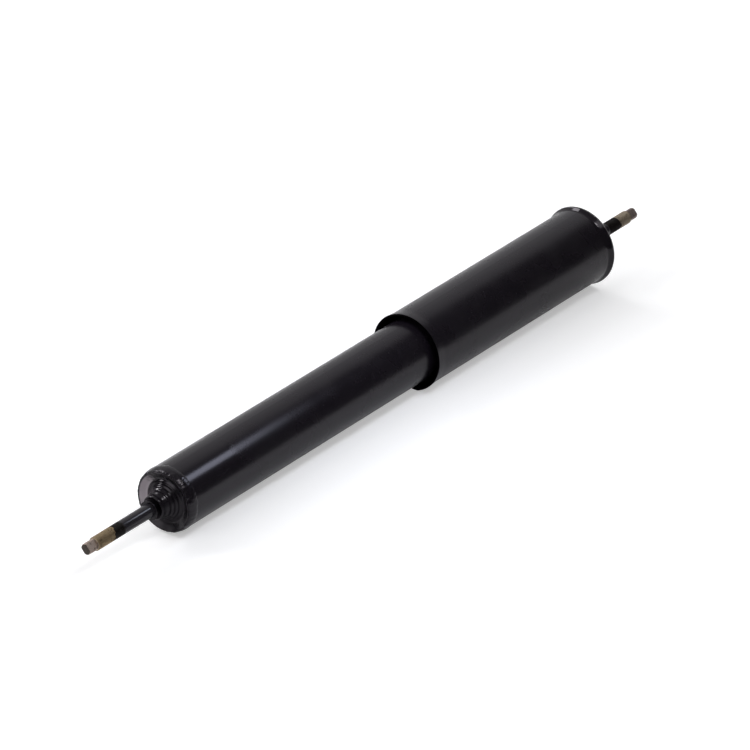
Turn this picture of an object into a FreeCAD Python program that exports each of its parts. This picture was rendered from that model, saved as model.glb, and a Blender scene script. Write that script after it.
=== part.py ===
import FreeCAD, Part
import math
import os

# Telescopic gas shock absorber, twin-tube, with a threaded stem at each end.
# Millimetres. The absorber lies along +X from its foot to its rod end, with +Z up, and is drawn at
# full extension. The origin is on the axis, at the seat of the lower stem.

# Stems, the same at both ends: plain shank, thread drawn at its crests, and a tip with two spanner flats
STEM_D = 10.0
STEM_SHANK = 30.0
STEM_THREAD = 28.0
STEM_TIP = 8.7
THREAD_RELIEF = 0.06
THREAD_CHAMFER = 1.0
TIP_STEP = 0.8
TIP_ROUND = 0.9
TIP_FLAT_DEPTH = 1.3
LOWER_FLAT_TURN = 49.0
UPPER_FLAT_TURN = 49.0
ROOT_STEP = 0.6
HEAD_STEP = 2.4
HEAD_THICK = 5.0

# Foot: a forged cup, welded into the reservoir tube, with a stepped boss in its dish for the lower stem
SEAT_STEP = 1.6
SEAT_COLLAR = 4.4
BOSS_STEPS = 5
BOSS_STEP_HEIGHT = 2.84
BOSS_TOP_STEP = 2.3
BOSS_WALL = 4.0
BOSS_GROOVE = 0.6
BOSS_ROUND = 1.2
DISH_WIDTH = 5.55
DISH_DEPTH = 3.5
DISH_ROUND = 0.9
RIM_LAND = 0.6
RIM_ROUND = 0.4
CUP_FLOOR = 6.0
CUP_PROUD = 4.4
CUP_ROUND = 1.6

# Ring of weld between the cup and the end of the reservoir tube
WELD_LAP = 5.0
WELD_CROWN = 0.75

# Reservoir tube, rolled over at its top
RESERVOIR_OD = 47.0
RESERVOIR_WALL = 1.6
ROLL_ROUND = 1.6
ROLL_LIP = 5.0

# Pressure tube that the piston works in
PRESSURE_BORE = 30.0
PRESSURE_WALL = 1.5

# Base valve at the foot of the pressure tube
VALVE_FOOT = 4.0
VALVE_FOOT_WIDTH = 3.5
VALVE_FOOT_SLOT = 9.0
VALVE_FLANGE = 3.0
VALVE_SPIGOT = 7.0
VALVE_PILOT_WALL = 1.0
VALVE_PILOT_HEIGHT = 1.0
RIVET_D = 5.0
RIVET_HEAD_STEP = 2.6
RIVET_HEAD = 2.2
BLEED_PORTS = 4
BLEED_PORT_D = 2.0
BLEED_PORT_WALL = 0.9
INTAKE_PORTS = 8
INTAKE_PORT_D = 3.0
INTAKE_PORT_WALL = 1.9
CHECK_DISC = 0.5
CHECK_LAP = 1.0

# Flat valve discs and star springs
DISC_COUNT = 3
DISC_THICK = 0.4
DISC_TAPER = 0.8
DISC_LAP = 1.2
STAR_ARMS = 6
STAR_SLOT = 2.2
STAR_THICK = 0.4
STAR_RISE = 1.6

# Piston on the spigot of the rod
STROKE = 180.0
FOOT_CLEARANCE = 17.6
SPIGOT_STEP = 2.25
SPIGOT_PROUD = 1.5
PISTON_LENGTH = 12.0
PISTON_GAP = 0.3
PISTON_BOSS = 0.8
PISTON_ROUND = 0.5
BAND_WIDTH = 6.0
BAND_THICK = 1.6
BAND_SLIT = 0.6
BLOW_PORTS = 8
BLOW_PORT_D = 3.0
BLOW_PORT_WALL = 1.0
REBOUND_PORTS = 6
REBOUND_PORT_D = 2.4
REBOUND_PORT_WALL = 1.6
BACKING_STEP = 3.4
BACKING_THICK = 2.0
SUPPORT_STEP = 2.6
SUPPORT_THICK = 2.0
NUT_FLATS = 13.0
NUT_HEIGHT = 6.5
NUT_CHAMFER = 0.8

# Rebound stop on the rod
COLLAR_GAP = 3.0
COLLAR_LENGTH = 4.0
COLLAR_STEP = 3.8
COLLAR_GROOVE = 0.5
BUFFER_LENGTH = 8.0
BUFFER_STEP = 4.2
BUFFER_ROUND = 1.5
REBOUND_GAP = 0.3

# Rod guide, seal and cover under the rolled top
ROD_STEP = 0.65
GUIDE_SPIGOT = 11.0
GUIDE_FLANGE = 9.0
GUIDE_LIP = 1.0
BUSH_LENGTH = 13.0
BUSH_WALL = 1.0
BUSH_SLIT = 0.3
GALLERY_WIDTH = 4.8
DRAIN_HOLES = 3
DRAIN_D = 2.5
RING_SECTION = 2.3
RING_ROOM = 0.15
SEAL_FLANGE = 4.0
SEAL_LIP_REACH = 3.4
SEAL_LIP_WALL = 2.6
SEAL_LIP_RELIEF = 0.8
WIPER_RISE = 1.3
GARTER_SECTION = 1.4
COVER_THICK = 2.0
COVER_BORE_GAP = 2.1

# Dust tube, flared at both ends, and the lid pressed into its top
DUST_GAP = 3.8
DUST_WALL = 1.2
DUST_OVERLAP = 22.0
MOUTH_FLARE = 0.7
MOUTH_LENGTH = 8.0
MOUTH_BLEND = 40.0
TOP_FLARE = 1.6
TOP_FLARE_ANGLE = 27.0
TOP_BLEND = 4.0
BUMP_CLEARANCE = 9.0
LID_SHEET = 2.0
LID_LIP = 0.2
LID_EDGE_ROUND = 0.8
LID_SPIGOT = 10.0
LID_SPIGOT_WALL = 1.6
LID_SEAT_STEP = 12.4
LID_RIM_LAND = 3.5
LID_PRESS = 1.2
LID_PRESS_ROUND = 0.6
ROD_WELD = 2.6

# Clearances on the radius: fixed fits, rod in its bush and seal, band in its bore and in its groove
FIT = 0.05
ROD_RUN = 0.04
BAND_RUN = 0.05
BAND_PLAY = 0.1

# Radii that follow
STEM_R = STEM_D / 2
THREAD_R = STEM_R - THREAD_RELIEF
TIP_R = THREAD_R - TIP_STEP
ROOT_R = STEM_R + ROOT_STEP
ROD_R = ROOT_R + ROD_STEP
SPIGOT_R = ROD_R - SPIGOT_STEP
RESERVOIR_R = RESERVOIR_OD / 2
RESERVOIR_BORE_R = RESERVOIR_R - RESERVOIR_WALL
PRESSURE_BORE_R = PRESSURE_BORE / 2
PRESSURE_R = PRESSURE_BORE_R + PRESSURE_WALL
CUP_R = RESERVOIR_BORE_R - FIT
SEAT_R = ROOT_R + SEAT_STEP
BOSS_TOP_R = SEAT_R + BOSS_TOP_STEP
BOSS_BASE_R = CUP_R - RIM_LAND - DISH_WIDTH
RIM_EDGE = min(RIM_ROUND, 2 * RIM_LAND / 3)
DUST_BORE_R = RESERVOIR_R + DUST_GAP
DUST_R = DUST_BORE_R + DUST_WALL
LID_R = DUST_R + TOP_FLARE + LID_LIP
BUSH_R = ROD_R + ROD_RUN + BUSH_WALL
ROLL_CORNER = min(ROLL_ROUND, COVER_THICK)

# Places along the axis, from the foot up
SEAT_X = 0.0
BOSS_X = SEAT_X + SEAT_COLLAR
CUP_FLOOR_X = BOSS_X + BOSS_STEPS * BOSS_STEP_HEIGHT
CUP_RIM_X = CUP_FLOOR_X - DISH_DEPTH
CUP_INNER_X = CUP_FLOOR_X + CUP_FLOOR
TUBE_FOOT_X = CUP_RIM_X + CUP_PROUD
VALVE_UNDER_X = CUP_INNER_X + VALVE_FOOT
PRESSURE_FOOT_X = VALVE_UNDER_X + VALVE_FLANGE
VALVE_TOP_X = PRESSURE_FOOT_X + VALVE_SPIGOT
RIVET_TOP_X = VALVE_TOP_X + CHECK_DISC + STAR_RISE + STAR_THICK + RIVET_HEAD
SPIGOT_END_X = RIVET_TOP_X + FOOT_CLEARANCE + STROKE
NUT_X = SPIGOT_END_X + SPIGOT_PROUD
SUPPORT_X = NUT_X + NUT_HEIGHT
PISTON_X = SUPPORT_X + SUPPORT_THICK + DISC_COUNT * DISC_THICK
PISTON_TOP_X = PISTON_X + PISTON_LENGTH
BACKING_X = PISTON_TOP_X + CHECK_DISC + STAR_RISE + STAR_THICK
SHOULDER_X = BACKING_X + BACKING_THICK
COLLAR_X = SHOULDER_X + COLLAR_GAP
BUFFER_X = COLLAR_X + COLLAR_LENGTH
GUIDE_X = BUFFER_X + BUFFER_LENGTH + REBOUND_GAP
GUIDE_FLANGE_X = GUIDE_X + GUIDE_SPIGOT
GUIDE_TOP_X = GUIDE_FLANGE_X + GUIDE_FLANGE
COVER_X = GUIDE_TOP_X + SEAL_FLANGE
ROLL_X = COVER_X + COVER_THICK
TUBE_TOP_X = ROLL_X + RESERVOIR_WALL
MOUTH_X = TUBE_TOP_X - DUST_OVERLAP
LID_INNER_X = TUBE_TOP_X + BUMP_CLEARANCE + STROKE
UPPER_SEAT_X = LID_INNER_X + LID_SHEET

AXIS = FreeCAD.Vector(1, 0, 0)
ORIGIN = FreeCAD.Vector(0, 0, 0)


def outline(corners):
    """Closed face in the XZ plane. A corner is (x, radius) or (x, radius, rounding)."""
    points = [FreeCAD.Vector(c[0], 0, c[1]) for c in corners]
    spans = []
    for i, corner in enumerate(corners):
        rounding = corner[2] if len(corner) > 2 else 0
        point = points[i]
        if not rounding:
            spans.append((point, None, point))
            continue
        back = (points[i - 1] - point).normalize()
        ahead = (points[(i + 1) % len(points)] - point).normalize()
        half = back.getAngle(ahead) / 2
        reach = rounding / math.tan(half)
        middle = point + (back + ahead).normalize() * (rounding / math.sin(half) - rounding)
        spans.append((point + back * reach, middle, point + ahead * reach))
    edges = []
    for i, (start, middle, end) in enumerate(spans):
        if middle:
            edges.append(Part.Arc(start, middle, end).toShape())
        following = spans[(i + 1) % len(spans)][0]
        if end.distanceToPoint(following) > 1e-6:
            edges.append(Part.LineSegment(end, following).toShape())
    return Part.Face(Part.Wire(edges))


def turned(*corners):
    """Solid turned about the axis from the corners of its half section."""
    return outline(corners).revolve(ORIGIN, AXIS, 360)


def ring(x0, x1, inner, outer):
    """Plain ring between two places on the axis."""
    return turned((x0, inner), (x0, outer), (x1, outer), (x1, inner))


def slit_ring(x0, x1, inner, outer, slit):
    """Ring rolled from strip, with a narrow slit where its ends meet."""
    gap = Part.makeBox(x1 - x0, slit, outer)
    gap.translate(FreeCAD.Vector(x0, -slit / 2, 0))
    return ring(x0, x1, inner, outer).cut(gap)


def rod_between(start, end, radius):
    """Round bar from one point to another, used for drilled holes."""
    return Part.makeCylinder(radius, start.distanceToPoint(end), start, end - start)


def drilled(solid, count, circle, radius, x0, x1, x0_circle=None):
    """The solid with evenly spaced round holes, which lean if they start on another circle."""
    start = FreeCAD.Vector(x0, 0, circle if x0_circle is None else x0_circle)
    hole = rod_between(start, FreeCAD.Vector(x1, 0, circle), radius)
    holes = []
    for i in range(count):
        turned_hole = hole.copy()
        turned_hole.rotate(ORIGIN, AXIS, 360 * i / count)
        holes.append(turned_hole)
    return solid.cut(Part.makeCompound(holes))


def stem_corners(seat, way):
    """Half section of a stem from its seat to the middle of its tip; way is -1 or 1 along the axis."""
    shank = seat + way * STEM_SHANK
    thread_end = shank + way * STEM_THREAD
    tip = thread_end + way * STEM_TIP
    return [
        (seat, STEM_R),
        (shank, STEM_R),
        (shank, THREAD_R),
        (thread_end - way * THREAD_CHAMFER, THREAD_R),
        (thread_end, TIP_R),
        (tip, TIP_R, TIP_ROUND),
        (tip, 0),
    ]


def with_tip_flats(solid, seat, way, turn):
    """The solid with two flats cut on the tip of its stem, for a spanner while the nut is done up."""
    start = seat + way * (STEM_SHANK + STEM_THREAD)
    low = min(start, start + way * STEM_TIP)
    flats = []
    for side in (0, 180):
        flat = Part.makeBox(STEM_TIP, 2 * TIP_R, TIP_R)
        flat.translate(FreeCAD.Vector(low, -TIP_R, TIP_R - TIP_FLAT_DEPTH))
        flat.rotate(ORIGIN, AXIS, turn + side)
        flats.append(flat)
    return solid.cut(Part.makeCompound(flats))


def lower_stem():
    """Stud pushed through the boss from inside, with its head seated behind the boss wall."""
    head = BOSS_X + BOSS_WALL
    head_r = ROOT_R + HEAD_STEP
    section = [(head + HEAD_THICK, 0), (head + HEAD_THICK, head_r), (head, head_r), (head, ROOT_R)]
    section += [(SEAT_X, ROOT_R)] + stem_corners(SEAT_X, -1)
    return with_tip_flats(turned(*section), SEAT_X, -1, LOWER_FLAT_TURN)


def base_cup():
    """Cup with a stepped boss in a shallow dish; its rim stands out of the tube and takes the weld."""
    hole = ROOT_R + FIT
    pocket = hole + HEAD_STEP
    step = (BOSS_BASE_R - BOSS_TOP_R) / (BOSS_STEPS - 1)
    slope = math.hypot(step, BOSS_STEP_HEIGHT)
    groove_x = BOSS_STEP_HEIGHT / 2 + BOSS_GROOVE * step / slope
    groove_r = step / 2 - BOSS_GROOVE * BOSS_STEP_HEIGHT / slope
    ripple = min(BOSS_ROUND, slope / 2)
    foot = min(DISH_ROUND, BOSS_STEP_HEIGHT / 3)
    section = [(BOSS_X + BOSS_WALL, pocket), (BOSS_X + BOSS_WALL, hole), (SEAT_X, hole)]
    section += [(SEAT_X, SEAT_R, SEAT_STEP / 3), (BOSS_X, SEAT_R)]
    for i in range(BOSS_STEPS - 1):
        radius = BOSS_TOP_R + i * step
        tread = BOSS_X + i * BOSS_STEP_HEIGHT
        section += [(tread, radius, ripple), (tread + groove_x, radius + groove_r, ripple)]
    section += [
        (CUP_FLOOR_X - BOSS_STEP_HEIGHT, BOSS_BASE_R, ripple),
        (CUP_FLOOR_X, BOSS_BASE_R, foot),
        (CUP_RIM_X, CUP_R - RIM_LAND, RIM_EDGE),
        (CUP_RIM_X, CUP_R, RIM_EDGE),
        (CUP_INNER_X, CUP_R, CUP_ROUND),
        (CUP_INNER_X, pocket),
    ]
    return turned(*section)


def foot_weld():
    """Fillet of weld that closes the step from the cup's rim to the tube and laps on to both."""
    return turned(
        (CUP_RIM_X + RIM_EDGE, CUP_R),
        (TUBE_FOOT_X + WELD_LAP / 3, RESERVOIR_R + WELD_CROWN, WELD_LAP),
        (TUBE_FOOT_X + WELD_LAP, RESERVOIR_R),
        (TUBE_FOOT_X, RESERVOIR_R),
        (TUBE_FOOT_X, CUP_R),
    )


def reservoir_tube():
    """Outer tube; its top is rolled over the seal cover and clamps the guide on the pressure tube."""
    lip = RESERVOIR_BORE_R - ROLL_LIP
    return turned(
        (TUBE_FOOT_X, RESERVOIR_BORE_R),
        (TUBE_FOOT_X, RESERVOIR_R),
        (TUBE_TOP_X, RESERVOIR_R, ROLL_CORNER + RESERVOIR_WALL),
        (TUBE_TOP_X, lip),
        (ROLL_X, lip),
        (ROLL_X, RESERVOIR_BORE_R, ROLL_CORNER),
    )


def pressure_tube():
    return ring(PRESSURE_FOOT_X, GUIDE_FLANGE_X, PRESSURE_BORE_R, PRESSURE_R)


def bleed_circle():
    """Radius of the base valve's inner ring of ports, round the rivet."""
    return RIVET_D / 2 + BLEED_PORT_WALL + BLEED_PORT_D / 2


def valve_pilot():
    """Radius of the low boss that centres the check disc on the base valve."""
    return bleed_circle() + BLEED_PORT_D / 2 + VALVE_PILOT_WALL


def valve_intake_circle():
    """Radius of the base valve's outer ring of ports, under the check disc."""
    return valve_pilot() + INTAKE_PORT_WALL + INTAKE_PORT_D / 2


def base_valve_body():
    """Sintered plug in the foot of the pressure tube, on four feet that let the oil through."""
    pilot = valve_pilot()
    body = turned(
        (VALVE_UNDER_X, RIVET_D / 2 + FIT),
        (VALVE_UNDER_X, PRESSURE_R - VALVE_FOOT_WIDTH),
        (CUP_INNER_X, PRESSURE_R - VALVE_FOOT_WIDTH),
        (CUP_INNER_X, PRESSURE_R),
        (PRESSURE_FOOT_X, PRESSURE_R),
        (PRESSURE_FOOT_X, PRESSURE_BORE_R - FIT),
        (VALVE_TOP_X, PRESSURE_BORE_R - FIT),
        (VALVE_TOP_X, pilot),
        (VALVE_TOP_X + VALVE_PILOT_HEIGHT, pilot),
        (VALVE_TOP_X + VALVE_PILOT_HEIGHT, RIVET_D / 2 + FIT),
    )
    for turn in (45, 135):
        slot = Part.makeBox(VALVE_FOOT, 2 * PRESSURE_R, VALVE_FOOT_SLOT)
        slot.translate(FreeCAD.Vector(CUP_INNER_X, -PRESSURE_R, -VALVE_FOOT_SLOT / 2))
        slot.rotate(ORIGIN, AXIS, turn)
        body = body.cut(slot)
    top = VALVE_TOP_X + VALVE_PILOT_HEIGHT
    body = drilled(body, BLEED_PORTS, bleed_circle(), BLEED_PORT_D / 2, VALVE_UNDER_X, top)
    return drilled(body, INTAKE_PORTS, valve_intake_circle(), INTAKE_PORT_D / 2, VALVE_UNDER_X, top)


def disc_stack(x, way, bore, radius):
    """Valve discs laid one on the next, each smaller than the one before it."""
    discs = []
    for i in range(DISC_COUNT):
        near = x + way * i * DISC_THICK
        far = near + way * DISC_THICK
        discs.append(ring(min(near, far), max(near, far), bore, radius - i * DISC_TAPER))
    return Part.makeCompound(discs)


def star_spring(x, rim, hub, bore):
    """Sprung star: a thin cone from its rim at x up to its hub, slotted from the rim into arms."""
    top = x + STAR_RISE
    cone = turned(
        (x, rim),
        (top, hub),
        (top, bore),
        (top + STAR_THICK, bore),
        (top + STAR_THICK, hub),
        (x + STAR_THICK, rim),
    )
    slots = []
    for i in range(STAR_ARMS):
        slot = Part.makeBox(STAR_RISE + 2 * STAR_THICK, STAR_SLOT, rim - hub)
        slot.translate(FreeCAD.Vector(x - STAR_THICK, -STAR_SLOT / 2, hub + STAR_SLOT / 2))
        slot.rotate(ORIGIN, AXIS, 360 * (i + 0.5) / STAR_ARMS)
        slots.append(slot)
    return cone.cut(Part.makeCompound(slots))


def base_bleed_discs():
    """Discs under the base valve that meter the oil pushed out by the rod."""
    radius = bleed_circle() + BLEED_PORT_D / 2 + DISC_LAP
    return disc_stack(VALVE_UNDER_X, -1, RIVET_D / 2 + FIT, radius)


def base_check_disc():
    """Plate over the intake ports, lifted by oil that flows back in as the rod comes out."""
    outer = valve_intake_circle() + INTAKE_PORT_D / 2 + CHECK_LAP
    return ring(VALVE_TOP_X, VALVE_TOP_X + CHECK_DISC, valve_pilot() + FIT, outer)


def base_check_spring():
    hub = RIVET_D / 2 + RIVET_HEAD_STEP
    return star_spring(VALVE_TOP_X + CHECK_DISC, valve_intake_circle() + CHECK_LAP, hub, RIVET_D / 2 + FIT)


def base_valve_rivet():
    """Rivet that holds the discs below the valve body and the spring above it."""
    shank = RIVET_D / 2
    head = shank + RIVET_HEAD_STEP
    under = VALVE_UNDER_X - DISC_COUNT * DISC_THICK
    upper = RIVET_TOP_X - RIVET_HEAD
    return turned(
        (under - RIVET_HEAD, 0),
        (under - RIVET_HEAD, head, RIVET_HEAD / 2),
        (under, head),
        (under, shank),
        (upper, shank),
        (upper, head),
        (RIVET_TOP_X, head, RIVET_HEAD / 2),
        (RIVET_TOP_X, 0),
    )


def rod_guide():
    """Sintered guide, located in both tubes, with a gallery that drains oil from the seal."""
    flange = RESERVOIR_BORE_R - FIT
    gallery = BUSH_R + FIT + GALLERY_WIDTH
    gallery_x = GUIDE_X + GUIDE_LIP + BUSH_LENGTH
    groove = RING_SECTION + 2 * RING_ROOM
    guide = turned(
        (GUIDE_X, ROD_R + REBOUND_GAP),
        (GUIDE_X, PRESSURE_BORE_R - FIT, GUIDE_LIP),
        (GUIDE_FLANGE_X, PRESSURE_BORE_R - FIT),
        (GUIDE_FLANGE_X, flange),
        (GUIDE_TOP_X - groove, flange),
        (GUIDE_TOP_X - groove, flange - groove),
        (GUIDE_TOP_X, flange - groove),
        (GUIDE_TOP_X, gallery),
        (gallery_x, gallery),
        (gallery_x, BUSH_R + FIT),
        (GUIDE_X + GUIDE_LIP, BUSH_R + FIT),
        (GUIDE_X + GUIDE_LIP, ROD_R + REBOUND_GAP),
    )
    outlet = (PRESSURE_R + RESERVOIR_BORE_R) / 2
    inlet_x = gallery_x + DRAIN_D
    reach = outlet - gallery + DRAIN_D
    return drilled(guide, DRAIN_HOLES, gallery - DRAIN_D, DRAIN_D / 2, GUIDE_FLANGE_X - DRAIN_D, inlet_x,
                   outlet + DRAIN_D * reach / (inlet_x - GUIDE_FLANGE_X))


def guide_bush():
    """Lined steel bush, rolled from strip, that the rod slides in."""
    start = GUIDE_X + GUIDE_LIP
    return slit_ring(start, start + BUSH_LENGTH, ROD_R + ROD_RUN, BUSH_R, BUSH_SLIT)


def guide_ring():
    """O-ring in the corner groove of the guide, against the wall of the reservoir tube."""
    middle = RESERVOIR_BORE_R - FIT - RING_ROOM - RING_SECTION / 2
    x = GUIDE_TOP_X - RING_ROOM - RING_SECTION / 2
    return Part.makeTorus(middle, RING_SECTION / 2, FreeCAD.Vector(x, 0, 0), AXIS)


def rod_seal():
    """Rubber seal with a flange held under the cover, a sealing lip below and a wiper lip above."""
    lip = ROD_R + ROD_RUN
    neck = lip + SEAL_LIP_WALL
    return turned(
        (GUIDE_TOP_X, neck),
        (GUIDE_TOP_X, RESERVOIR_BORE_R - FIT),
        (COVER_X, RESERVOIR_BORE_R - FIT),
        (COVER_X, lip + COVER_BORE_GAP - FIT),
        (COVER_X + WIPER_RISE, lip + SEAL_LIP_RELIEF),
        (COVER_X + WIPER_RISE, lip),
        (COVER_X - WIPER_RISE, lip + SEAL_LIP_RELIEF),
        (GUIDE_TOP_X - SEAL_LIP_REACH / 2, lip),
        (GUIDE_TOP_X - SEAL_LIP_REACH, lip + SEAL_LIP_RELIEF),
        (GUIDE_TOP_X - SEAL_LIP_REACH, neck),
    )


def seal_garter():
    """Garter spring round the sealing lip."""
    middle = ROD_R + ROD_RUN + SEAL_LIP_WALL + FIT + GARTER_SECTION / 2
    x = GUIDE_TOP_X - SEAL_LIP_REACH / 2
    return Part.makeTorus(middle, GARTER_SECTION / 2, FreeCAD.Vector(x, 0, 0), AXIS)


def seal_cover():
    bore = ROD_R + ROD_RUN + COVER_BORE_GAP
    return turned(
        (COVER_X, bore),
        (COVER_X, RESERVOIR_BORE_R - FIT),
        (ROLL_X, RESERVOIR_BORE_R - FIT, ROLL_CORNER),
        (ROLL_X, bore),
    )


def piston_rod():
    """Chromed rod: spigot for the piston, groove for the stop collar, and the upper stem turned on it."""
    groove = ROD_R - COLLAR_GROOVE
    section = [
        (SPIGOT_END_X, 0),
        (SPIGOT_END_X, SPIGOT_R, SPIGOT_PROUD / 2),
        (SHOULDER_X, SPIGOT_R),
        (SHOULDER_X, ROD_R),
        (COLLAR_X, ROD_R),
        (COLLAR_X, groove),
        (BUFFER_X, groove),
        (BUFFER_X, ROD_R),
        (LID_INNER_X, ROD_R),
        (LID_INNER_X, ROOT_R),
        (UPPER_SEAT_X, ROOT_R),
    ]
    rod = turned(*section, *stem_corners(UPPER_SEAT_X, 1))
    return with_tip_flats(rod, UPPER_SEAT_X, 1, UPPER_FLAT_TURN)


def rebound_circle():
    """Radius of the piston's inner ring of ports."""
    return SPIGOT_R + REBOUND_PORT_WALL + REBOUND_PORT_D / 2


def piston_boss():
    """Radius of the low boss on the piston that centres its check disc."""
    return rebound_circle() + REBOUND_PORT_D / 2 + REBOUND_PORT_WALL / 2


def blow_circle():
    """Radius of the piston's outer ring of ports."""
    return piston_boss() + BLOW_PORT_WALL + BLOW_PORT_D / 2


def piston():
    """Sintered piston with two rings of ports and a groove for its band."""
    outer = PRESSURE_BORE_R - PISTON_GAP
    groove = PRESSURE_BORE_R - BAND_RUN - BAND_THICK - BAND_PLAY
    groove_x = PISTON_X + (PISTON_LENGTH - BAND_WIDTH) / 2 - BAND_PLAY
    groove_end = groove_x + BAND_WIDTH + 2 * BAND_PLAY
    top = PISTON_TOP_X + PISTON_BOSS
    body = turned(
        (PISTON_X, SPIGOT_R + FIT),
        (PISTON_X, outer, PISTON_ROUND),
        (groove_x, outer),
        (groove_x, groove),
        (groove_end, groove),
        (groove_end, outer),
        (PISTON_TOP_X, outer, PISTON_ROUND),
        (PISTON_TOP_X, piston_boss()),
        (top, piston_boss()),
        (top, SPIGOT_R + FIT),
    )
    body = drilled(body, REBOUND_PORTS, rebound_circle(), REBOUND_PORT_D / 2, PISTON_X, top)
    return drilled(body, BLOW_PORTS, blow_circle(), BLOW_PORT_D / 2, PISTON_X, top)


def piston_band():
    """Low-friction band, slit to spring into the piston's groove, that runs in the pressure tube."""
    outer = PRESSURE_BORE_R - BAND_RUN
    start = PISTON_X + (PISTON_LENGTH - BAND_WIDTH) / 2
    return slit_ring(start, start + BAND_WIDTH, outer - BAND_THICK, outer, BAND_SLIT)


def blow_off_disc():
    """Plate over the outer ports, lifted when the piston is pushed in."""
    outer = blow_circle() + BLOW_PORT_D / 2 + CHECK_LAP
    return ring(PISTON_TOP_X, PISTON_TOP_X + CHECK_DISC, piston_boss() + FIT, outer)


def blow_off_spring():
    hub = SPIGOT_R + BACKING_STEP / 2
    return star_spring(PISTON_TOP_X + CHECK_DISC, blow_circle() + FIT, hub, SPIGOT_R + FIT)


def backing_washer():
    """Washer between the rod's shoulder and the star spring."""
    return ring(BACKING_X, SHOULDER_X, SPIGOT_R + FIT, SPIGOT_R + BACKING_STEP)


def rebound_discs():
    """Discs under the piston that bend to meter the oil as the rod is pulled out."""
    return disc_stack(PISTON_X, -1, SPIGOT_R + FIT, rebound_circle() + REBOUND_PORT_D / 2 + DISC_LAP)


def support_washer():
    """Small washer that the discs bend over."""
    return ring(SUPPORT_X, SUPPORT_X + SUPPORT_THICK, SPIGOT_R + FIT, SPIGOT_R + SUPPORT_STEP)


def piston_nut():
    """Hexagon lock nut with chamfered corners."""
    corner = NUT_FLATS / math.sqrt(3)
    angles = [math.radians(60 * i) for i in range(7)]
    hexagon = [FreeCAD.Vector(NUT_X, corner * math.cos(a), corner * math.sin(a)) for a in angles]
    prism = Part.Face(Part.makePolygon(hexagon)).extrude(AXIS * NUT_HEIGHT)
    return prism.common(turned(
        (NUT_X, SPIGOT_R + FIT),
        (NUT_X, corner - NUT_CHAMFER),
        (NUT_X + NUT_CHAMFER / 2, corner),
        (SUPPORT_X, corner),
        (SUPPORT_X, SPIGOT_R + FIT),
    ))


def stop_collar():
    """Steel collar swaged into the rod's groove, which carries the rebound buffer."""
    inner = ROD_R - COLLAR_GROOVE + FIT
    return ring(COLLAR_X + FIT, BUFFER_X, inner, ROD_R + COLLAR_STEP)


def rebound_buffer():
    """Elastomer ring that meets the guide when the rod is right out."""
    end = BUFFER_X + BUFFER_LENGTH
    return turned(
        (BUFFER_X, ROD_R + FIT),
        (BUFFER_X, ROD_R + BUFFER_STEP, BUFFER_ROUND),
        (end, ROD_R + BUFFER_STEP, BUFFER_ROUND),
        (end, ROD_R + FIT),
    )


def dust_tube():
    """Cover tube that travels with the rod; its mouth opens a little and its top flares to the lid."""
    flare = MOUTH_X + MOUTH_LENGTH
    angle = math.radians(TOP_FLARE_ANGLE)
    bend = LID_INNER_X - TOP_FLARE / math.tan(angle)
    inner_bend = bend + DUST_WALL * math.tan(angle / 2)
    inner_top = DUST_BORE_R + (LID_INNER_X - inner_bend) * math.tan(angle)
    return turned(
        (MOUTH_X, DUST_BORE_R + MOUTH_FLARE),
        (MOUTH_X, DUST_R + MOUTH_FLARE),
        (flare, DUST_R, MOUTH_BLEND),
        (bend, DUST_R, TOP_BLEND),
        (LID_INNER_X, DUST_R + TOP_FLARE),
        (LID_INNER_X, inner_top),
        (inner_bend, DUST_BORE_R, TOP_BLEND + DUST_WALL),
        (flare, DUST_BORE_R, MOUTH_BLEND),
    )


def top_lid():
    """Pressed lid on the rod's shoulder: seat, sunk ring, rim on the flare and spigot in the dust tube."""
    hole = ROOT_R + FIT
    spigot = DUST_BORE_R - FIT
    seat = ROOT_R + LID_SEAT_STEP
    rim = LID_R - LID_RIM_LAND
    return turned(
        (LID_INNER_X, hole),
        (UPPER_SEAT_X, hole),
        (UPPER_SEAT_X, seat, LID_PRESS_ROUND),
        (UPPER_SEAT_X - LID_PRESS, seat + LID_PRESS, LID_PRESS_ROUND),
        (UPPER_SEAT_X - LID_PRESS, rim - LID_PRESS, LID_PRESS_ROUND),
        (UPPER_SEAT_X, rim, LID_PRESS_ROUND),
        (UPPER_SEAT_X, LID_R, LID_EDGE_ROUND),
        (LID_INNER_X, LID_R, LID_EDGE_ROUND),
        (LID_INNER_X, spigot),
        (LID_INNER_X - LID_SPIGOT, spigot),
        (LID_INNER_X - LID_SPIGOT, spigot - LID_SPIGOT_WALL),
        (LID_INNER_X - LID_PRESS, spigot - LID_SPIGOT_WALL),
        (LID_INNER_X - LID_PRESS, seat + LID_PRESS, LID_PRESS_ROUND),
        (LID_INNER_X, seat, LID_PRESS_ROUND),
    )


def rod_weld():
    """Fillet of weld under the lid, round the shoulder of the rod."""
    return turned((LID_INNER_X, ROD_R), (LID_INNER_X, ROD_R + ROD_WELD), (LID_INNER_X - ROD_WELD, ROD_R))


PIECES = [
    lower_stem, base_cup, foot_weld, reservoir_tube, pressure_tube,
    base_valve_body, base_bleed_discs, base_check_disc, base_check_spring, base_valve_rivet,
    rod_guide, guide_bush, guide_ring, rod_seal, seal_garter, seal_cover,
    piston_rod, piston, piston_band, blow_off_disc, blow_off_spring, backing_washer,
    rebound_discs, support_washer, piston_nut, stop_collar, rebound_buffer,
    dust_tube, top_lid, rod_weld,
]

os.makedirs("parts", exist_ok=True)
for make in PIECES:
    shape = make()
    shape.exportStep("parts/" + make.__name__ + ".step")
    print(make.__name__, shape.isValid(), len(shape.Solids), round(shape.Volume, 2))
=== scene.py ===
import math
import random
from collections import namedtuple

import bpy
from mathutils import Matrix, Quaternion, Vector


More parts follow.
